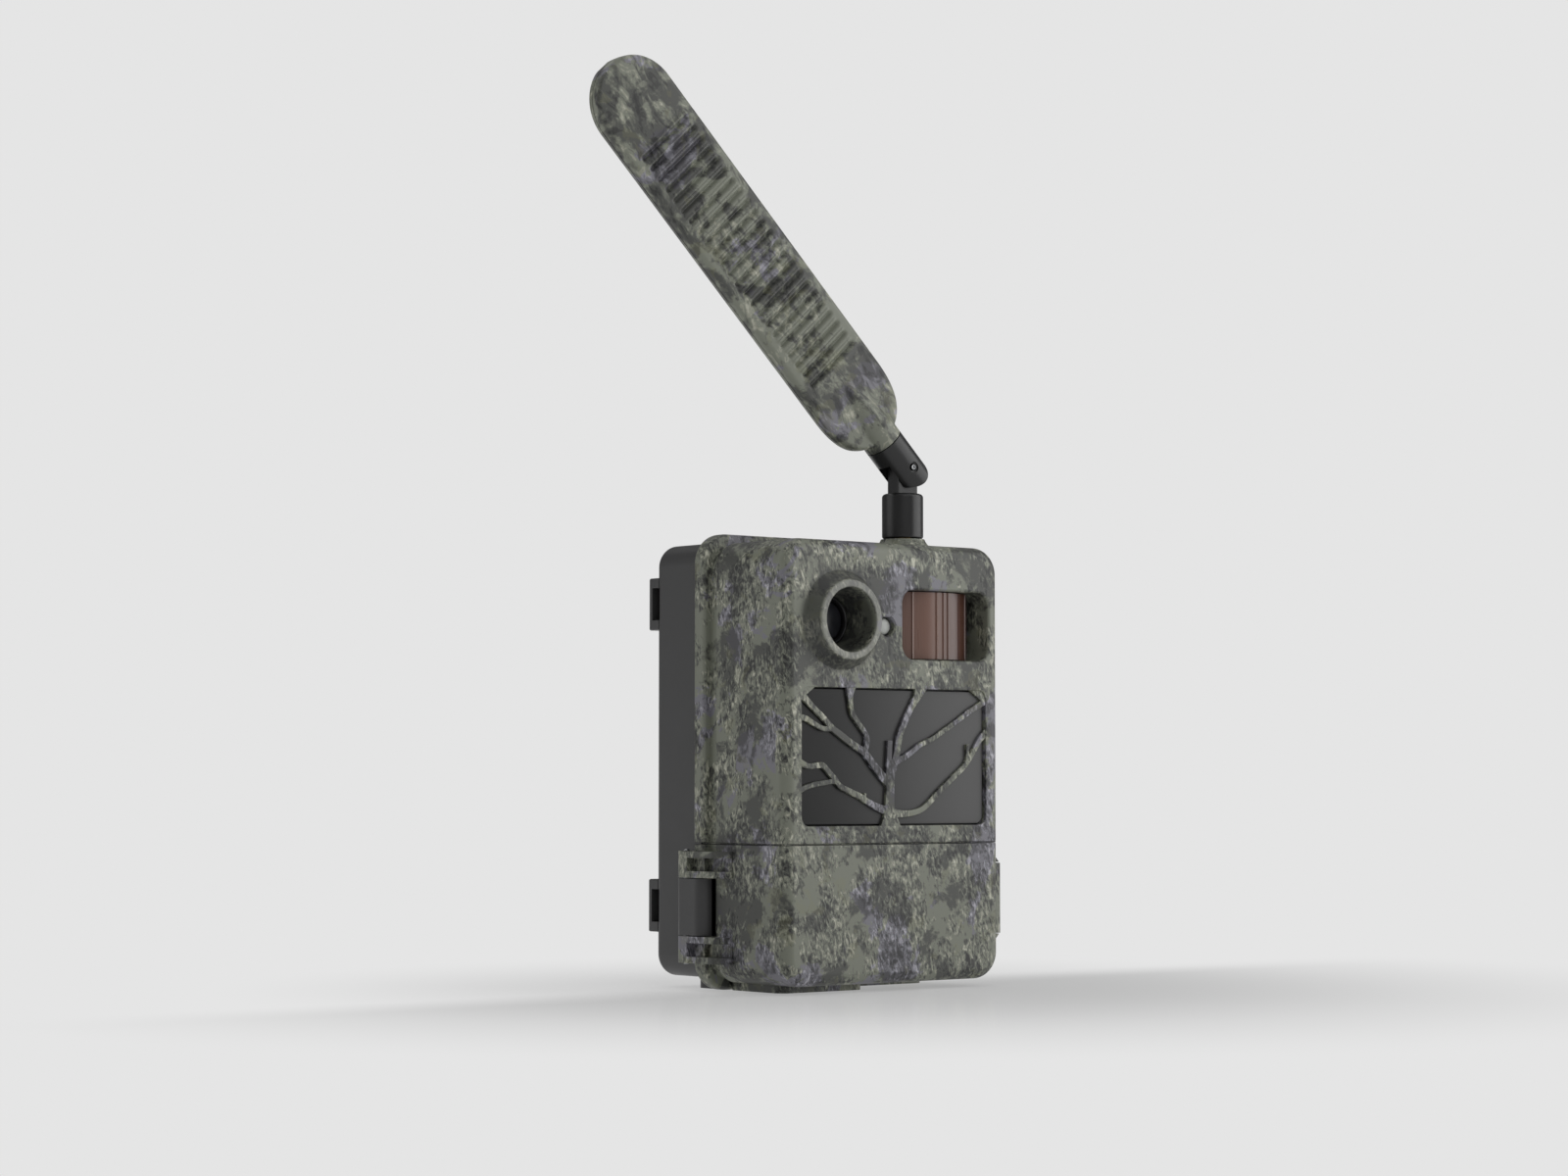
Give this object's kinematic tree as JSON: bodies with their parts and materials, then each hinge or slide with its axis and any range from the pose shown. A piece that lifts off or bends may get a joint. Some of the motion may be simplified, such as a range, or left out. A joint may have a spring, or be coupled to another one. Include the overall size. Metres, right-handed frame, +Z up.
{
  "type": "trail camera",
  "caption": "Compact cellular trail camera with a camouflage front shell, swing-open battery door, strap lugs and a folding paddle antenna on a swivel joint.",
  "frame": {"origin": "middle of the foot, on the surface that the camera stands on", "axes": "+Z up, the lens faces -Y, +X is to the right of someone looking at the lens"},
  "size_m": [0.1454, 0.0754, 0.2829],
  "materials": {
    "camo_shell": "satin camouflage film over moulded plastic, fine vertical streaks",
    "camo_paddle": "satin camouflage film over moulded plastic, large blotches",
    "dark_housing": "fine moulded grain, satin",
    "black_plastic": "satin moulded",
    "ir_panel": "semi-gloss dark filter plastic",
    "pir_film": "translucent red-brown ridged lens film",
    "lens_glass": "coated glass",
    "light_window": "translucent diffuser",
    "steel": "turned",
    "brass": "plain",
    "seal": "soft silicone",
    "rubber": "matt",
    "board": "solder mask",
    "cell_jacket": "plain film sleeve",
    "button_grey": "soft touch",
    "switch_orange": "moulded",
    "display_glass": "polished",
    "card": "plain",
    "cable": "matt jacket"
  },
  "bodies": {
    "housing": {"rear_housing": "dark_housing", "front_shell": "camo_shell", "housing_gasket": "seal", "door_gasket": "seal", "door_hinge_pin": "steel", "housing_screw_1": "steel", "housing_screw_2": "steel", "housing_screw_3": "steel", "housing_screw_4": "steel", "tripod_insert": "brass", "dc_port_plug": "rubber", "lens_bezel": "black_plastic", "lens_window": "lens_glass", "lens_barrel": "black_plastic", "image_sensor_board": "board", "light_sensor_window": "light_window", "pir_lens": "pir_film", "pir_sensor": "steel", "pir_board": "board", "ir_window": "ir_panel", "ir_led_board": "board", "main_board": "board", "lte_module": "steel", "antenna_jack": "brass", "antenna_coax": "cable", "battery_tray": "black_plastic", "battery_1": "cell_jacket", "battery_2": "cell_jacket", "battery_3": "cell_jacket", "battery_4": "cell_jacket", "battery_5": "cell_jacket", "battery_6": "cell_jacket", "battery_7": "cell_jacket", "battery_8": "cell_jacket", "tray_contacts": "steel", "housing_contacts": "steel", "control_panel": "black_plastic", "display": "display_glass"},
    "door": {"front_door": "camo_shell", "latch_pin": "steel"},
    "latch": {"door_latch": "camo_shell"},
    "antenna_base": {"antenna_sleeve": "black_plastic", "antenna_stem": "black_plastic", "antenna_pin": "steel"},
    "antenna_paddle": {"antenna_yoke": "black_plastic", "antenna_blade_front": "camo_paddle", "antenna_blade_back": "camo_paddle", "antenna_element": "brass"},
    "menu_key": {"button_menu": "button_grey"},
    "down_key": {"button_down": "button_grey"},
    "up_key": {"button_up": "button_grey"},
    "ok_key": {"button_ok": "button_grey"},
    "switch_knob": {"power_switch": "switch_orange"},
    "memory_card": {"sd_card": "card"}
  },
  "joints": [
    {"name": "door_swing", "type": "hinge", "parent": "housing", "child": "door", "pos_m": [-0.0465, 0.014, 0.025], "axis": [0, 0, -1], "range_deg": [0, 110]},
    {"name": "latch_swing", "type": "hinge", "parent": "door", "child": "latch", "pos_m": [0.0439, -0.0256, 0.0275], "axis": [0, 0, -1], "range_deg": [0, 60]},
    {"name": "antenna_swivel", "type": "hinge", "parent": "housing", "child": "antenna_base", "pos_m": [0.0163, -0.016, 0.147], "axis": [0, 0, 1], "range_deg": [-170, 170]},
    {"name": "antenna_tilt", "type": "hinge", "parent": "antenna_base", "child": "antenna_paddle", "pos_m": [0.0163, -0.016, 0.163], "axis": [-0.0924, -0.9957, 0], "range_deg": [-43.5, 46.5]},
    {"name": "menu_press", "type": "slide", "parent": "housing", "child": "menu_key", "axis": [0, 1, 0], "range_m": [0, 0.0004], "stiffness_N_per_m": 800, "springref_m": -0.0002},
    {"name": "down_press", "type": "slide", "parent": "housing", "child": "down_key", "axis": [0, 1, 0], "range_m": [0, 0.0004], "stiffness_N_per_m": 800, "springref_m": -0.0002},
    {"name": "up_press", "type": "slide", "parent": "housing", "child": "up_key", "axis": [0, 1, 0], "range_m": [0, 0.0004], "stiffness_N_per_m": 800, "springref_m": -0.0002},
    {"name": "ok_press", "type": "slide", "parent": "housing", "child": "ok_key", "axis": [0, 1, 0], "range_m": [0, 0.0004], "stiffness_N_per_m": 800, "springref_m": -0.0002},
    {"name": "switch_slide", "type": "slide", "parent": "housing", "child": "switch_knob", "axis": [0, 0, 1], "range_m": [0, 0.0018]},
    {"name": "card_slide", "type": "slide", "parent": "housing", "child": "memory_card", "axis": [0, -1, 0], "range_m": [0, 0.006]}
  ]
}
